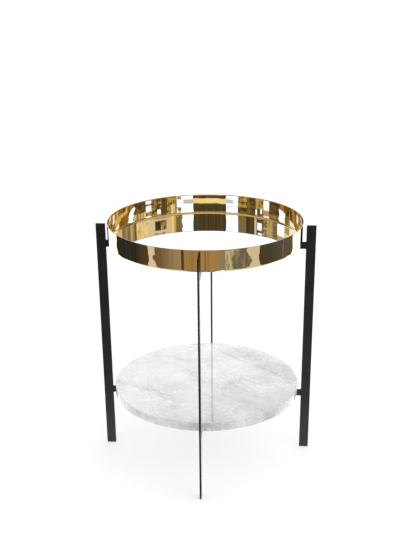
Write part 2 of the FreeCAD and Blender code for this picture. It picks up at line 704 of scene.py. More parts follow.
def arc(middle: Point, radius: float, start: float, end: float, steps: int) -> Array:
    """Points of a circle's arc in the plane of distance and height.

    A point at angle a is the middle plus the radius times (cos a, sin a).

    Args:
        middle: the circle's centre.
        radius: the circle's radius.
        start: the first angle in degrees.
        end: the last angle in degrees.
        steps: number of points.

    Returns:
        One row of distance and height for each point.
    """
    angle = np.radians(np.linspace(start, end, steps))
    return np.array(middle) + radius * np.stack([np.cos(angle), np.sin(angle)], axis=1)


def line(start: Point, end: Point, steps: int) -> Array:
    """Evenly spaced points between two points of a profile, without its ends."""
    share = np.linspace(0.0, 1.0, steps + 2)[1:-1, None]
    return np.array(start) * (1.0 - share) + np.array(end) * share


def turned_surface(profile: Array, steps: int, dent: Array | float = 0.0) -> tuple[Array, list[Indices]]:
    """A closed surface of revolution about Z whose profile starts and ends on the axis.

    A point is (r cos a, r sin a, z), where (r, z) runs along the profile, a goes round in even steps,
    and r is lessened by the dent at that row and step.

    Args:
        profile: distance and height of each row, from the lower pole to the upper pole.
        steps: number of steps round the axis.
        dent: how far each point lies inside the true circle, one row for each ring between the poles.

    Returns:
        The points and the faces, with quads between rings and triangles at the poles.
    """
    angle = np.linspace(0.0, FULL_TURN, steps, endpoint=False)[None, :]
    rings = profile[1:-1]
    radius = np.broadcast_to(rings[:, :1] - dent, (len(rings), steps))
    height = np.broadcast_to(rings[:, 1:], radius.shape)
    grid = np.stack([radius * np.cos(angle), radius * np.sin(angle), height], axis=2).reshape(-1, 3)
    poles = np.array([[0.0, 0.0, profile[0, 1]], [0.0, 0.0, profile[-1, 1]]])
    first = np.arange(steps)
    following = (first + 1) % steps
    last = (len(rings) - 1) * steps
    lower = np.stack([following, first, np.full(steps, len(grid))], axis=1)
    upper = np.stack([last + first, last + following, np.full(steps, len(grid) + 1)], axis=1)
    faces = [grid_faces(len(rings), steps, ring=True), np.concatenate([lower, upper])]
    return np.concatenate([grid, poles]), faces


@dataclass
class BrassTray:
    """The spun tray: a flat floor, a swept corner, an upright wall and a trimmed rim with eased edges."""

    finish: PolishedBrass = field(default_factory=PolishedBrass)
    node: str = "brass_tray"
    wall: float = 1.5 * MM
    corner_radius: float = 4.5 * MM
    rim_radius: float = 0.4 * MM
    support: float = 0.4 * MM
    steps: int = 720
    arc_steps: int = 12
    rim_steps: int = 7
    wall_rows: int = 22
    floor_rows: int = 6
    wave_count: int = 7
    wave_depth: float = 0.003 * MM
    waves_round: tuple[int, int] = (24, 80)
    waves_up: tuple[float, float] = (10.0, 60.0)
    wave_seed: int = 11

    def profile(self) -> Array:
        """The sheet's section from the underside's middle, round the rim, to the floor's middle.

        Straight runs are joined by quarter circles at the corner and at both edges of the rim's flat top.

        Returns:
            One row of distance and height for each point.
        """
        low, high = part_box(self.node)
        radius, bottom, top = high.x, low.z, high.z
        bend = (radius - self.corner_radius, bottom + self.corner_radius)
        inner = radius - self.wall
        rim = top - self.rim_radius
        floor = bottom + self.wall
        flat_end = bend[0] - self.support
        return np.concatenate([
            [[0.0, bottom]],
            line((0.0, bottom), (flat_end, bottom), self.floor_rows),
            [[flat_end, bottom]],
            arc(bend, self.corner_radius, -90.0, 0.0, self.arc_steps),
            line((radius, bend[1]), (radius, rim), self.wall_rows),
            arc((radius - self.rim_radius, rim), self.rim_radius, 0.0, 90.0, self.rim_steps),
            arc((inner + self.rim_radius, rim), self.rim_radius, 90.0, 180.0, self.rim_steps),
            line((inner, rim), (inner, bend[1]), self.wall_rows),
            arc(bend, self.corner_radius - self.wall, 0.0, -90.0, self.arc_steps),
            [[flat_end, floor]],
            line((flat_end, floor), (0.0, floor), self.floor_rows),
            [[0.0, floor]],
        ])

    def waves(self, profile: Array) -> Array:
        """The slight waves that spinning leaves in the wall, as a depth inside the true circle.

        Each wave is 1 + cos(count * a + twist * z + phase), and their sum grows from nothing at the
        corner to its full depth up the wall, the same on both faces of the sheet.

        Args:
            profile: the tray's section.

        Returns:
            One row for each ring between the poles, one column for each step round.
        """
        draw = np.random.default_rng(self.wave_seed)
        count = draw.integers(*self.waves_round, self.wave_count)[:, None, None]
        twist = draw.uniform(*self.waves_up, self.wave_count) * draw.choice([-1.0, 1.0], self.wave_count)
        phase = draw.uniform(0.0, FULL_TURN, self.wave_count)[:, None, None]
        angle = np.linspace(0.0, FULL_TURN, self.steps, endpoint=False)[None, None, :]
        distance, height = profile[1:-1, :1], profile[1:-1, 1:]
        depth = (1.0 + np.cos(count * angle + twist[:, None, None] * height[None] + phase)).sum(axis=0)
        rise = np.clip((height - height.min()) / (2.0 * self.corner_radius), 0.0, 1.0)
        on_wall = distance > distance.max() - self.corner_radius
        return self.wave_depth * depth * rise * on_wall

    def build(self) -> bpy.types.Object:
        """Makes the tray, which stands for its node.

        Returns:
            The tray.
        """
        profile = self.profile()
        points, faces = turned_surface(profile, self.steps, self.waves(profile))
        piece = new_piece("tray_polished", points, faces, self.finish.material(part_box(self.node)[1].z))
        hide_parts(self.node)
        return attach(piece, Body.TRAY.value)


@dataclass
class MarbleShelf:
    """The stone disc, with a softly rounded arris on both edges."""

    finish: VeinedMarble = field(default_factory=VeinedMarble)
    node: str = "marble_shelf"
    arris: float = 1.4 * MM
    support: float = 0.4 * MM
    steps: int = 384
    arc_steps: int = 8
    rows: int = 8

    def profile(self) -> Array:
        """The disc's section from pole to pole: straight runs, and a quarter circle at each edge.

        Returns:
            One row of distance and height for each point.
        """
        low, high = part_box(self.node)
        radius, bottom, top = high.x, low.z, high.z
        flat_end = radius - self.arris
        side_low, side_high = bottom + self.arris, top - self.arris
        return np.concatenate([
            [[0.0, bottom]],
            line((0.0, bottom), (flat_end - self.support, bottom), self.rows),
            [[flat_end - self.support, bottom]],
            arc((flat_end, side_low), self.arris, -90.0, 0.0, self.arc_steps),
            line((radius, side_low), (radius, side_high), self.rows),
            arc((flat_end, side_high), self.arris, 0.0, 90.0, self.arc_steps),
            [[flat_end - self.support, top]],
            line((flat_end - self.support, top), (0.0, top), self.rows),
            [[0.0, top]],
        ])

    def build(self) -> bpy.types.Object:
        """Makes the disc, which stands for its node.

        Returns:
            The disc.
        """
        points, faces = turned_surface(self.profile(), self.steps)
        piece = new_piece("shelf_polished", points, faces, self.finish.material(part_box(self.node)[1].z))
        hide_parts(self.node)
        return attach(piece, Body.SHELF.value)


@dataclass
class FlatBarFrame:
    """The welded frame: legs and crossbars keep their meshes, and small weld fillets join them."""

    finish: PowderCoat = field(default_factory=PowderCoat)
    levels: tuple[str, str] = ("upper", "lower")
    weld_leg: float = 1.8 * MM
    weld_swell: float = 0.18
    weld_ripples: float = 3.0
    weld_closing: int = 8
    bar_edge: float = 0.5 * MM
    section_steps: int = 7
    run_steps: int = 13

    def fillet(self, corner: Array, run: Array, first: Array, second: Array) -> tuple[Array, Indices]:
        """A concave weld fillet along an inside corner.

        A section is the corner point and the quarter circle that bulges towards it, at
        corner + leg * ((1 - sin a) * first + (1 - cos a) * second). The leg swells and shrinks a
        little along the run and closes to nothing at both ends.

        Args:
            corner: the corner's start.
            run: the vector along the corner to its end.
            first: unit vector along one of the two faces.
            second: unit vector along the other face.

        Returns:
            The points and the quads of the closed strip.
        """
        share = np.linspace(0.0, 1.0, self.run_steps)[:, None, None]
        angle = np.linspace(0.0, math.pi / 2, self.section_steps)[None, :, None]
        swell = 1.0 + self.weld_swell * np.sin(self.weld_ripples * FULL_TURN * share)
        closing = np.sqrt(np.clip(1.0 - (2.0 * share - 1.0) ** self.weld_closing, 0.0, 1.0))
        curve = (1.0 - np.sin(angle)) * first + (1.0 - np.cos(angle)) * second
        corners = np.zeros((self.run_steps, 1, 3))
        strip = np.concatenate([self.weld_leg * swell * closing * curve, corners], axis=1)
        points = (corner + share * run + strip).reshape(-1, 3)
        return points, grid_faces(self.run_steps, self.section_steps + 1, ring=True)

    def leg_welds(self, level: str) -> list[tuple[Array, Indices]]:
        """The fillets above and below each crossbar end, where it meets its leg.

        Args:
            level: the cross that the bars belong to.

        Returns:
            The points and quads of each fillet.
        """
        welds = []
        for side in Side:
            low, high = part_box(f"{level}_crossbar_{side.bar}")
            reach, half = max(high.x, high.y), min(high.x, high.y) - self.bar_edge
            inward, across = -side.outward, np.cross(UP, side.outward)
            for height, away in ((high.z, UP), (low.z, -UP)):
                start = side.outward * reach + UP * height - across * half
                pair = (away, inward) if away is UP else (inward, away)
                welds.append(self.fillet(start, across * 2.0 * half, *pair))
        return welds

    def lap_welds(self, level: str) -> list[tuple[Array, Indices]]:
        """The upright fillets in the four inside corners where the crossbars cross.

        Args:
            level: the cross that the bars belong to.

        Returns:
            The points and quads of each fillet.
        """
        low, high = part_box(f"{level}_crossbar_sideways")
        rise = UP * (high.z - low.z - 2.0 * self.bar_edge)
        welds = []
        for side in Side:
            first, second = side.outward, np.cross(UP, side.outward)
            start = high.y * (first + second) + UP * (low.z + self.bar_edge)
            welds.append(self.fillet(start, rise, second, first))
        return welds

    def build(self) -> list[bpy.types.Object]:
        """Coats the bars and adds the welds of both levels.

        Returns:
            The nodes that were coated and the new pieces.
        """
        coat = self.finish.material()
        names = [f"leg_{side.label}" for side in Side]
        names += [f"{level}_crossbar_{bar}" for level in self.levels for bar in ("sideways", "lengthways")]
        pieces = [dress(bpy.data.objects[name], coat) for name in names]
        for level in self.levels:
            welds = self.leg_welds(level) + self.lap_welds(level)
            offsets = np.cumsum([0] + [len(points) for points, _ in welds[:-1]])
            points = np.concatenate([points for points, _ in welds])
            quads = np.concatenate([rows + offset for (_, rows), offset in zip(welds, offsets)])
            piece = new_piece(f"weld_fillets_{level}", points, [quads], coat)
            pieces.append(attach(piece, Body.FRAME.value))
        return pieces


@dataclass
class RestSlips:
    """The rest pads on both crosses and the glides under the legs, which keep their meshes."""

    pad_finish: MattSlip = MattSlip("rubber_pad")
    glide_finish: MattSlip = MattSlip("glide_slip", roughness=0.6)

    def build(self) -> list[bpy.types.Object]:
        """Dresses every pad and glide.

        Returns:
            The nodes that were dressed.
        """
        pad, glide = self.pad_finish.material(), self.glide_finish.material()
        kinds = (("tray_pad", pad), ("shelf_pad", pad), ("foot_glide", glide))
        return [dress(bpy.data.objects[f"{kind}_{side.label}"], finish)
                for kind, finish in kinds for side in Side]


class Tone(Enum):
    """The light of a studio card as red, green and blue, chosen for how it looks in the polished metal."""

    INK = (0.022, 0.025, 0.032)
    COAL = (0.042, 0.040, 0.045)
    CHARCOAL = (0.066, 0.062, 0.068)
    ASH = (0.110, 0.107, 0.114)
    BROWN = (0.085, 0.057, 0.040)
    MAHOGANY = (0.095, 0.075, 0.060)
    UMBER = (0.170, 0.140, 0.105)
    DARK_OLIVE = (0.165, 0.112, 0.068)
    OLIVE = (0.350, 0.280, 0.220)
    MOSS = (0.155, 0.150, 0.148)
    LICHEN = (0.255, 0.245, 0.240)
    DARK_TIMBER = (0.320, 0.215, 0.115)
    TIMBER = (0.410, 0.262, 0.130)
    RUST = (0.260, 0.220, 0.160)
    COPPER = (0.180, 0.105, 0.025)
    AMBER = (0.460, 0.300, 0.060)
    GOLD = (0.580, 0.530, 0.270)
    STRAW = (1.020, 1.090, 1.100)
    TAN = (0.420, 0.390, 0.380)
    SAND = (0.580, 0.560, 0.520)
    DUSK = (0.200, 0.195, 0.200)
    PALE = (0.800, 0.850, 1.280)
    CREAM = (0.715, 0.685, 0.765)
    SHELF = (1.070, 1.100, 1.120)
    WINDOW = (0.640, 0.880, 2.600)
    CEILING = (0.700, 0.620, 0.520)
    BACKDROP = (1.140, 1.380, 2.380)
    BRIGHT = (2.400, 2.400, 2.400)
    LAMP = (1.300, 1.880, 5.700)
    GLARE = (1.400, 2.000, 6.200)
    HONEY = (0.440, 0.370, 0.250)
    PLAIN = (1.000, 1.000, 1.000)


class Pattern(Enum):
    """How a card's second tone lies on its first.

    The three values are the repeats in each radian round the table, the repeats in each metre up and
    the softness of the change between the tones.
    """

    STREAKS = (14.0, 1.0, 0.085)
    BLOTCHES = (15.0, 26.0, 0.085)
    PANES = (13.0, 2.0, 0.035)
    FADE = (22.0, 3.0, 0.60)


@dataclass(frozen=True)
class Card:
    """A curved studio card round the table, seen only in reflections.

    Azimuth counts in degrees from the front, positive to the right of someone who faces the table.
    """

    name: str
    azimuth: Span
    height: Span
    distance: Span
    tone: Tone
    second: Tone | None = None
    pattern: Pattern = Pattern.STREAKS
    outline: tuple[tuple[float, float, float], ...] = ((0.0, 0.0, 0.0),)
    ragged: float = 0.0
    tear: float = 12.0 * MM
    columns: int = 13
    rows: int = 160
    streaks: Grain = Grain(1.0, roughness=0.65)
    level_streaks: Grain = Grain(1.0, 3.0, 0.6)
    level_scale: tuple[float, float, float] = (0.3, 35.0, 1.0)
    split: float = 0.515

    def share(self, nodes: Nodes) -> Socket:
        """How much of the second tone shows: a noise, upright streaks crossed by level ones, or a fade.

        Args:
            nodes: the material being built.

        Returns:
            The share, from 0 to 1.
        """
        *scale, softness = self.pattern.value
        parts = nodes.node("SeparateXYZ", {0: nodes.place()}).outputs
        azimuth = nodes.maths("ARCTAN2", parts["X"], nodes.maths("MULTIPLY", parts["Y"], -1.0))
        unrolled = nodes.node("CombineXYZ", {"X": azimuth, "Y": parts["Z"]}).outputs[0]
        place = nodes.vectors("MULTIPLY", unrolled, (*scale, 1.0))
        noise = nodes.noise(place, self.streaks)
        if self.pattern is Pattern.FADE:
            ramp = nodes.between(azimuth, *(math.radians(edge) for edge in self.azimuth))
            return nodes.between(nodes.maths("ADD", ramp, noise), 1.0 - softness, 1.0 + softness)
        if self.pattern is Pattern.PANES:
            level = nodes.noise(nodes.vectors("MULTIPLY", place, self.level_scale), self.level_streaks)
            noise = nodes.maths("MULTIPLY", nodes.maths("ADD", noise, level), 0.5)
        return nodes.between(noise, self.split - softness, self.split + softness)

    def material(self) -> bpy.types.Material:
        """The card's own light, in one tone or in two.

        A bright card is plain white where it is mirrored once, as in the stone. It has its own tone
        where it is mirrored twice, and honey where it is mirrored more often, except for a glare.

        Returns:
            The finished material.
        """
        nodes = Nodes.material("card_" + self.name)
        colour: Any = self.tone.value
        if self.second:
            colour = nodes.blend(self.share(nodes), self.tone.value, self.second.value)
        elif self.tone in (Tone.LAMP, Tone.WINDOW, Tone.GLARE):
            colour = nodes.blend(nodes.mirrored_past(1), Tone.PLAIN.value, self.tone.value)
            if self.tone is not Tone.GLARE:
                colour = nodes.blend(nodes.mirrored_past(2), colour, Tone.HONEY.value)
        return nodes.output(nodes.glow(colour, nodes.mirrored()))

    def edge(self, height: Array, end: int) -> Array:
        """One side edge: its azimuth, shifted as the outline says and torn to and fro up the card.

        The outline's rows give a height and the shift of both edges there, with straight runs between.
        The tear runs straight between draws from an even spread, one for each tear's height.

        Args:
            height: the height of each row.
            end: 0 for the first edge, 1 for the last.

        Returns:
            The azimuth of each row in degrees.
        """
        knots = np.arange(height.min(), height.max() + self.tear, self.tear)
        draw = np.random.default_rng([end, *self.name.encode()])
        torn = np.interp(height, knots, draw.uniform(-self.ragged, self.ragged, len(knots)))
        levels, *shifts = np.array(self.outline).T
        return self.azimuth[end] + np.interp(height, levels, shifts[end]) + torn

    def build(self) -> bpy.types.Object:
        """Makes the card on a cylinder or a cone about the table's axis.

        A point at azimuth a, distance d and height z is (d sin a, -d cos a, z), where d and z run
        together up the card and a runs from one torn edge to the other.

        Returns:
            The card.
        """
        height = np.linspace(*self.height, self.rows)
        distance = np.linspace(*self.distance, self.rows)[:, None]
        share = np.linspace(0.0, 1.0, self.columns)[None, :]
        first, last = (self.edge(height, end)[:, None] for end in (0, 1))
        azimuth = np.radians(first * (1.0 - share) + last * share)
        level = np.broadcast_to(height[:, None], azimuth.shape)
        points = np.stack([distance * np.sin(azimuth), -distance * np.cos(azimuth), level], axis=2)
        faces = grid_faces(self.rows, self.columns, ring=False)
        card = new_piece("card_" + self.name, points.reshape(-1, 3), [faces], self.material())
        return seen_in_metal(card)


def seen_in_metal(piece: bpy.types.Object) -> bpy.types.Object:
    """Makes a stage piece show in reflections only."""
    piece.visible_camera = piece.visible_diffuse = piece.visible_shadow = False
    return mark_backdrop(piece)


@dataclass(frozen=True)
class SoftLamp:
    """A square lamp that is aimed at the table and stays out of the reflections."""

    name: str
    azimuth: float
    height: float
    distance: float
    size: float
    power: float
    aim: tuple[float, float, float] = (0.0, 0.0, 0.35)

    def build(self) -> None:
        """Makes the lamp."""
        data = bpy.data.lights.new(self.name, "AREA")
        data.size, data.energy = self.size, self.power
        lamp = bpy.data.objects.new(self.name, data)
        angle = math.radians(self.azimuth)
        lamp.location = (self.distance * math.sin(angle), -self.distance * math.cos(angle), self.height)
        lamp.rotation_euler = (Vector(self.aim) - lamp.location).to_track_quat("-Z", "Y").to_euler()
        lamp.visible_glossy = False
        bpy.context.scene.collection.objects.link(lamp)


@dataclass
class Studio:
    """Pale floor, white surroundings, soft lamps and the cards that give the metal its contrast."""

    dim_ambient: float = 0.58
    full_ambient: float = 1.36
    full_azimuth: float = math.radians(155.0)
    floor_half: float = 40.0
    floor_drop: float = 0.2 * MM
    floor_colour: Colour = (0.95, 0.95, 0.95)
    floor_share: float = 0.50
    floor_glow: float = 1.16
    floor_in_metal: float = 2.0
    ceiling_half: float = 2.2
    ceiling_height: float = 2.7
    low_ring: float = 1.3
    high_ring: float = 1.6
    rear_ring: float = 2.0
    backdrop_ring: float = 6.0
    backdrop_split: float = 2.70
    backdrop_top: float = 4.4
    backdrop_azimuth: Span = (125.0, 238.0)
    backdrop_columns: int = 49
    loft_columns: int = 73
    behind: float = 0.004
    low_span: Span = (0.0, 0.80)
    low_side_span: Span = (0.28, 0.70)
    lying_span: Span = (0.002, 0.004)
    lying_start: float = 0.35
    lying_front: Span = (0.26, 0.70)
    high_span: Span = (0.45, 1.32)
    high_front: float = 0.90
    fold: float = 1.052
    side_fold: float = 1.049
    lamps: tuple[SoftLamp, ...] = (
        SoftLamp("lamp_left", -40.0, 1.9, 2.4, 1.2, 7.0),
        SoftLamp("lamp_right", 60.0, 1.9, 2.4, 1.4, 14.0),
        SoftLamp("lamp_front", 14.0, 0.6, 2.6, 1.6, 8.5, (0.0, 0.0, 0.17)),
    )

    def low_cards(self) -> list[Card]:
        """The ring that the outside of the tray's wall mirrors, and the cards that lie before the table.

        Returns:
            The cards.
        """
        front = {"height": self.low_span, "distance": (self.low_ring,) * 2}
        back = {"height": self.low_span, "distance": (self.low_ring + self.behind,) * 2}
        near = {"height": self.low_span, "distance": (self.low_ring - self.behind,) * 2}
        rear = {"height": self.low_span, "distance": (self.rear_ring,) * 2}
        side = {"height": self.low_side_span, "distance": (self.low_ring,) * 2}
        lying = {"height": self.lying_span, "distance": (self.lying_start, self.low_ring)}
        far_lying = {"height": self.lying_span, "distance": (self.lying_front[1], self.low_ring)}
        near_lying = {"height": self.lying_span, "distance": self.lying_front}
        fade, torn = {"pattern": Pattern.FADE}, {"ragged": 0.7, "tear": 9.0 * MM}
        mottled = {"pattern": Pattern.BLOTCHES, "ragged": 0.9, "tear": 7.0 * MM}
        return [
            Card("low_left", (-113.0, -80.0), tone=Tone.INK, second=Tone.COAL, ragged=0.6, **front,
                 outline=((0.130, 9.0, 0.0), (0.142, 4.0, 0.0), (0.155, 1.2, 0.0), (0.170, 0.0, 0.0))),
            Card("low_left_side", (-84.0, -59.5), tone=Tone.INK, second=Tone.BROWN, **fade, **torn, **near,
                 outline=((0.160, 0.0, -0.6), (0.185, 0.0, 1.4), (0.212, 0.0, -1.2))),
            Card("low_left_gap", (-70.0, -45.0), tone=Tone.CREAM, **back),
            Card("low_front_left", (-51.5, -20.0), tone=Tone.DARK_OLIVE, second=Tone.OLIVE, **fade, **torn,
                 **front, outline=((0.158, 3.2, 0.0), (0.170, 0.5, 0.0), (0.182, -2.6, 0.0),
                                   (0.191, -2.6, 0.0), (0.195, 0.0, 0.0))),
            Card("low_post", (-21.9, -19.2), tone=Tone.BROWN, **near),
            Card("low_front", (-20.0, 9.0), tone=Tone.TIMBER, second=Tone.DARK_TIMBER, **back),
            Card("low_front_fade", (9.0, 27.0), tone=Tone.TIMBER, second=Tone.LICHEN, **fade, **back),
            Card("low_front_line", (2.4, 3.6), tone=Tone.DARK_OLIVE, **near),
            Card("low_front_right", (25.0, 50.0), tone=Tone.MOSS, second=Tone.LICHEN, **mottled, **front,
                 outline=((0.156, 0.0, -2.5), (0.166, 0.0, 1.0), (0.176, 0.0, 3.3), (0.186, 0.0, 1.0),
                          (0.190, 0.0, 2.6), (0.197, 0.0, -0.3), (0.213, 0.0, -2.7))),
            Card("low_front_patch", (23.5, 30.5), tone=Tone.SAND, second=Tone.LICHEN, **mottled, **near,
                 outline=((0.165, 0.5, 2.0), (0.190, 0.0, 0.0), (0.205, 0.0, 1.0), (0.214, 0.0, 7.0))),
            Card("low_right_gap", (40.0, 75.0), tone=Tone.CREAM, **back),
            Card("low_right", (61.5, 116.0), tone=Tone.CHARCOAL, second=Tone.ASH, **fade, **torn, **front,
                 outline=((0.135, 4.0, -12.0), (0.150, 2.5, -3.0), (0.160, 1.5, 0.0), (0.175, -0.4, 0.0),
                          (0.197, 0.2, 0.0), (0.213, 1.3, 0.0))),
            Card("low_right_line", (96.2, 97.0), tone=Tone.OLIVE, **near),
            Card("low_side_right", (124.0, 138.0), tone=Tone.MOSS, second=Tone.LICHEN, **side),
            Card("low_side_left", (-138.0, -124.0), tone=Tone.LICHEN, second=Tone.OLIVE, **side),
            Card("low_rear_right", (150.0, 177.0), tone=Tone.TAN, second=Tone.LICHEN, **rear),
            Card("low_rear_gap", (177.0, 181.0), tone=Tone.CREAM, **rear),
            Card("low_rear_left", (181.0, 210.0), tone=Tone.SAND, second=Tone.DUSK, **rear),
            Card("lying_left", (-85.0, -20.0), tone=Tone.CREAM, **lying),
            Card("lying_front", (-20.0, 20.0), tone=Tone.DARK_TIMBER, **far_lying),
            Card("lying_front_near", (-19.5, 17.0), tone=Tone.BROWN, **near_lying),
            Card("lying_right", (24.0, 85.0), tone=Tone.CREAM, **lying),
        ]

    def high_front_cards(self) -> list[Card]:
        """The part of the high ring that faces the table's front: a dark panel between two white ones.

        Returns:
            The cards.
        """
        full, far = (self.high_front, self.high_span[1]), (self.high_ring,) * 2
        back = (self.high_ring + self.behind,) * 2
        near, nearer = (self.high_ring - self.behind,) * 2, (self.high_ring - 2.0 * self.behind,) * 2
        return [
            Card("high_lamp_left", (-45.0, -18.0), full, back, Tone.LAMP),
            Card("high_lamp_right", (13.0, 42.0), full, back, Tone.LAMP),
            Card("high_front", (-24.0, 19.0), full, far, Tone.CHARCOAL, Tone.ASH, ragged=0.3),
            Card("high_shelf", (-24.0, 19.0), (0.983, 1.006), nearer, Tone.SHELF),
            Card("high_sill", (-33.5, 32.0), (0.986, 1.005), near, Tone.WINDOW),
            Card("high_rail", (-40.0, -24.0), (1.017, 1.020), near, Tone.WINDOW),
        ]

    def high_right_cards(self) -> list[Card]:
        """The right-hand part of the high ring, with the floor's mirror image above the fold.

        Returns:
            The cards.
        """
        below, above = (self.high_front, self.fold), (self.fold, self.high_span[1])
        side_below, side_above = (self.high_front, self.side_fold), (self.side_fold, self.high_span[1])
        far, near = (self.high_ring,) * 2, (self.high_ring - self.behind,) * 2
        panes, torn = {"pattern": Pattern.PANES}, {"ragged": 0.9, "tear": 8.0 * MM}
        blotches = {"pattern": Pattern.BLOTCHES}
        return [
            Card("high_right_bit_top", (35.0, 40.0), (self.high_front, 0.985), far, Tone.GOLD, Tone.DUSK,
                 **torn),
            Card("high_right_bit_low", (35.2, 40.0), (1.021, 1.046), far, Tone.DUSK, Tone.SAND, **torn),
            Card("high_right_gold", (41.0, 56.0), below, far, Tone.GOLD, Tone.MAHOGANY, **panes),
            Card("high_right_strips", (42.5, 52.0), (1.003, self.fold), near, Tone.STRAW, Tone.TAN),
            Card("high_right_shutter", (54.5, 62.8), below, near, Tone.MAHOGANY, Tone.UMBER, **torn),
            Card("high_right_dark", (62.0, 79.0), below, far, Tone.MAHOGANY, Tone.GOLD, **panes),
            Card("high_right_pane", (63.8, 69.3), (1.017, 1.041), near, Tone.LAMP),
            Card("high_right_frame", (79.0, 86.2), side_below, far, Tone.GOLD, Tone.COAL, **panes),
            Card("high_right_window_top", (78.0, 86.3), (self.high_front, 0.982), near, Tone.LAMP),
            Card("high_right_window", (78.0, 86.0), (0.992, 1.018), near, Tone.LAMP),
            Card("high_right_window_sill", (78.0, 86.3), (1.042, self.side_fold), near, Tone.LAMP),
            Card("high_right_panel", (86.3, 107.0), (self.high_front, 1.016), far, Tone.MAHOGANY, Tone.RUST,
                 **panes),
            Card("high_right_slats", (86.6, 112.0), (1.016, self.side_fold), far, Tone.STRAW, Tone.UMBER),
            Card("high_right_slit", (106.5, 117.0), side_below, near, Tone.GLARE, **torn,
                 outline=((0.985, -1.5, -5.0), (1.005, 2.0, -0.5), (1.040, 3.0, 2.5))),
            Card("high_right_amber", (112.5, 140.0), (self.high_span[0], self.side_fold), far, Tone.COPPER,
                 Tone.AMBER),
            Card("high_right_jamb", (33.8, 43.0), above, far, Tone.LICHEN, Tone.DUSK, **torn),
            Card("high_right_curtain", (42.3, 50.0), above, near, Tone.STRAW, Tone.GOLD),
            Card("high_right_wall", (50.0, 86.0), above, far, Tone.PALE),
            Card("high_right_picture", (64.2, 72.8), (1.069, 1.113), near, Tone.CHARCOAL, Tone.COAL),
            Card("high_right_picture_light", (55.8, 64.2), (1.069, 1.113), near, Tone.CHARCOAL, Tone.SAND,
                 **blotches),
            Card("high_right_picture_low", (58.0, 73.5), (1.126, 1.140), near, Tone.INK, Tone.TAN, **panes),
            Card("high_right_straw", (84.5, 103.0), side_above, near, Tone.STRAW, Tone.CREAM, **blotches,
                 ragged=0.5, tear=8.0 * MM),
            Card("high_right_post", (103.5, 107.5), side_above, near, Tone.UMBER, Tone.DUSK),
            Card("high_right_tan", (107.0, 125.0), side_above, far, Tone.SAND, Tone.DUSK),
            Card("high_right_olive", (125.0, 133.0), side_above, far, Tone.RUST, Tone.TAN),
            Card("high_right_pale", (133.0, 150.0), side_above, far, Tone.CREAM),
        ]

    def high_left_cards(self) -> list[Card]:
        """The left-hand part of the high ring, with the floor's mirror image above the fold.

        Returns:
            The cards.
        """
        start = self.high_span[0]
        below, above = (start, self.fold), (self.fold, self.high_span[1])
        side_below, side_above = (start, self.side_fold), (self.side_fold, self.high_span[1])
        far, near = (self.high_ring,) * 2, (self.high_ring - self.behind,) * 2
        panes, torn = {"pattern": Pattern.PANES}, {"ragged": 0.9, "tear": 8.0 * MM}
        return [
            Card("high_left_gold", (-53.5, -40.0), (start, 1.018), far, Tone.GOLD, Tone.MAHOGANY, **panes),
            Card("high_left_dado", (-53.5, -40.3), (1.018, self.fold), far, Tone.COAL, Tone.RUST, **panes),
            Card("high_left_shutter", (-65.0, -53.0), below, near, Tone.MAHOGANY, Tone.RUST, **panes),
            Card("high_left_yellow", (-77.0, -64.5), (start, 1.012), far, Tone.GOLD, Tone.MAHOGANY, **panes),
            Card("high_left_chest", (-77.0, -64.5), (1.012, self.fold), far, Tone.MAHOGANY, Tone.UMBER,
                 **panes),
            Card("high_left_pane", (-67.8, -65.3), (1.015, 1.046), near, Tone.LAMP),
            Card("high_left_glint", (-75.4, -72.8), (1.010, 1.034), near, Tone.LAMP),
            Card("high_left_window", (-86.4, -77.7), (start, 1.011), near, Tone.LAMP),
            Card("high_left_frame", (-86.8, -77.0), (1.011, self.side_fold), far, Tone.SAND, Tone.TAN),
            Card("high_left_window_sill", (-86.6, -78.0), (1.041, self.side_fold), near, Tone.LAMP),
            Card("high_left_panel", (-107.0, -86.8), (start, 1.023), far, Tone.MAHOGANY, Tone.UMBER, **panes),
            Card("high_left_slats", (-107.0, -86.8), (1.023, self.side_fold), far, Tone.TAN, Tone.UMBER),
            Card("high_left_slit", (-116.5, -105.0), side_below, near, Tone.GLARE, **torn),
            Card("high_left_amber", (-128.0, -114.0), side_below, far, Tone.COPPER, Tone.AMBER),
            Card("high_left_olive", (-52.5, -40.5), above, far, Tone.LICHEN, Tone.DUSK, **panes),
            Card("high_left_dark", (-64.0, -52.0), above, near, Tone.CHARCOAL, Tone.ASH),
            Card("high_left_strip", (-67.3, -63.0), above, far, Tone.PALE),
            Card("high_left_case", (-77.0, -67.3), above, far, Tone.CHARCOAL, Tone.UMBER),
            Card("high_left_light", (-75.2, -68.5), (1.075, 1.109), near, Tone.LAMP),
            Card("high_left_light_low", (-76.0, -69.7), (1.121, 1.133), near, Tone.LAMP),
            Card("high_left_tan", (-102.0, -77.0), side_above, far, Tone.SAND, Tone.DUSK, **panes),
            Card("high_left_rim", (-117.5, -102.0), side_above, far, Tone.SAND),
            Card("high_left_opening", (-116.3, -101.8), (self.side_fold, 1.105), near, Tone.LAMP),
            Card("high_left_end", (-128.0, -117.5), (self.side_fold, 1.085), far, Tone.SAND, Tone.TAN),
        ]

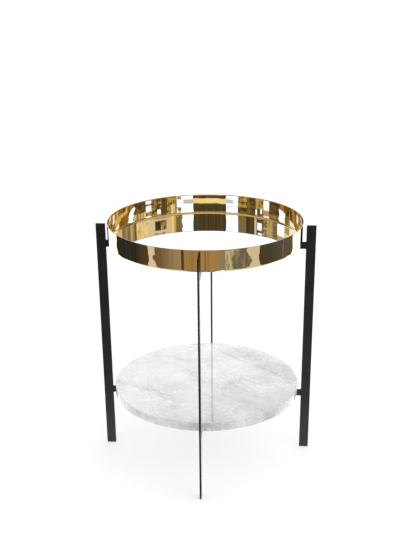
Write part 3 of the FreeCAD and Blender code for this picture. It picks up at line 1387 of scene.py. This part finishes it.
    def cards(self) -> list[Card]:
        """All cards, with a white backdrop far behind the table and a dim loft above the rings.

        The tray's floor mirrors the backdrop's lower part, the stone mirrors its upper part, and the
        tray's rim and corner mirror the loft.

        Returns:
            The cards.
        """
        backdrop = {"azimuth": self.backdrop_azimuth, "distance": (self.backdrop_ring,) * 2,
                    "columns": self.backdrop_columns}
        low_part = (self.high_span[0], self.backdrop_split)
        high_part = (self.backdrop_split, self.backdrop_top)
        low = Card("backdrop_low", height=low_part, tone=Tone.BACKDROP, **backdrop)
        high = Card("backdrop_high", height=high_part, tone=Tone.BRIGHT, **backdrop)
        loft = Card("loft", (-180.0, 180.0), (self.high_span[1], self.ceiling_height),
                    (self.high_ring, self.ceiling_half), Tone.UMBER, columns=self.loft_columns)
        rings = self.low_cards() + self.high_front_cards() + self.high_right_cards() + self.high_left_cards()
        return [*rings, low, high, loft]

    def sheet(self, name: str, half: float, height: float, material: bpy.types.Material) -> bpy.types.Object:
        """A level square about the table's axis.

        Args:
            name: the sheet's name.
            half: half its side.
            height: where it lies.
            material: its finish.

        Returns:
            The sheet.
        """
        corners = half * np.array([[-1.0, -1.0], [1.0, -1.0], [1.0, 1.0], [-1.0, 1.0]])
        points = np.column_stack([corners, np.full(4, height)])
        return new_piece(name, points, [np.arange(4)[None, :]], material, smooth=False)

    def floor_finish(self) -> bpy.types.Material:
        """Matt white that keeps the shadow, lifted to white for the eye and shown as white in the metal.

        Returns:
            The finished material.
        """
        nodes = Nodes.material("floor_white")
        white = (1.0, 1.0, 1.0)
        matt = nodes.node("BsdfDiffuse", {"Color": (*self.floor_colour, 1.0)}).outputs[0]
        to_eye = nodes.node("LightPath").outputs["Is Camera Ray"]
        share = nodes.maths("MULTIPLY", to_eye, self.floor_share)
        lifted = {0: share, 1: matt, 2: nodes.glow(white, self.floor_glow).outputs[0]}
        shown = {0: nodes.mirrored(), 1: nodes.node("MixShader", lifted).outputs[0],
                 2: nodes.glow(white, self.floor_in_metal).outputs[0]}
        return nodes.output(nodes.node("MixShader", shown))

    def surroundings(self) -> None:
        """White all round for the eye and the metal. The soft light is fullest from behind and right."""
        bpy.context.scene.world = bpy.data.worlds.new("white_studio")
        nodes = Nodes(bpy.context.scene.world)
        to_eye = nodes.node("LightPath").outputs["Is Camera Ray"]
        seen = nodes.maths("MAXIMUM", to_eye, nodes.mirrored())
        white = (1.0, 1.0, 1.0, 1.0)
        brightest = (math.sin(self.full_azimuth), -math.cos(self.full_azimuth), 0.0)
        towards = nodes.along(nodes.node("TexCoord").outputs["Generated"], brightest)
        light = nodes.between(towards, -1.0, 1.0, self.dim_ambient, self.full_ambient)
        ambient = nodes.node("Background", {"Color": white, "Strength": light}).outputs[0]
        shown = nodes.node("Background", {"Color": white, "Strength": 1.0}).outputs[0]
        mixed = nodes.node("MixShader", {0: seen, 1: ambient, 2: shown}).outputs[0]
        nodes.node("OutputWorld", {"Surface": mixed})

    def build(self) -> None:
        """Sets up the surroundings, the floor, the ceiling, the cards and the lamps."""
        self.surroundings()
        self.sheet("floor", self.floor_half, -self.floor_drop, self.floor_finish())
        nodes = Nodes.material("card_ceiling")
        dim = nodes.output(nodes.glow(Tone.CEILING.value))
        seen_in_metal(self.sheet("card_ceiling", self.ceiling_half, self.ceiling_height, dim))
        for piece in (*self.cards(), *self.lamps):
            piece.build()


@dataclass(frozen=True)
class PhotoCamera:
    """The camera that sees the table as the photograph does, for an image of 414 by 552."""

    place: tuple[float, float, float] = (0.12635, -2.02242, 1.1746)
    yaw: float = math.radians(-3.5195)
    pitch: float = math.radians(23.1773)
    roll: float = math.radians(-0.4377)
    focal_pixels: float = 927.5
    long_side_pixels: float = 552.0
    axis_below_middle_pixels: float = 55.08

    def build(self) -> None:
        """Aims the camera: forward by yaw and pitch, then rolled about that line."""
        level = np.array([math.cos(self.yaw), -math.sin(self.yaw), 0.0])
        heading = np.array([math.sin(self.yaw), math.cos(self.yaw), 0.0])
        forward = math.cos(self.pitch) * heading - math.sin(self.pitch) * UP
        upright = np.cross(level, forward)
        right = math.cos(self.roll) * level + math.sin(self.roll) * upright
        above = math.cos(self.roll) * upright - math.sin(self.roll) * level
        data = bpy.data.cameras.new("photo_camera")
        data.lens = data.sensor_width * self.focal_pixels / self.long_side_pixels
        data.shift_y = self.axis_below_middle_pixels / self.long_side_pixels
        camera = bpy.data.objects.new("photo_camera", data)
        turn = Matrix(np.stack([right, above, -forward], axis=1).tolist())
        camera.matrix_world = Matrix.Translation(self.place) @ turn.to_4x4()
        bpy.context.scene.collection.objects.link(camera)
        bpy.context.scene.camera = camera


def main() -> None:
    """Loads the model, builds each part of the scene and reports it."""
    logging.basicConfig(level=logging.INFO, format="%(name)s: %(message)s")
    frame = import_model()
    LOG.info("%d nodes loaded", len(frame["nodes"]))
    bpy.context.scene.view_settings.view_transform = "Standard"
    pieces = [BrassTray().build(), MarbleShelf().build(), *FlatBarFrame().build(), *RestSlips().build()]
    for piece in pieces:
        LOG.info("%s in %s", piece.name, piece.active_material.name)
    Studio().build()
    PhotoCamera().build()


if __name__ == "__main__":
    main()
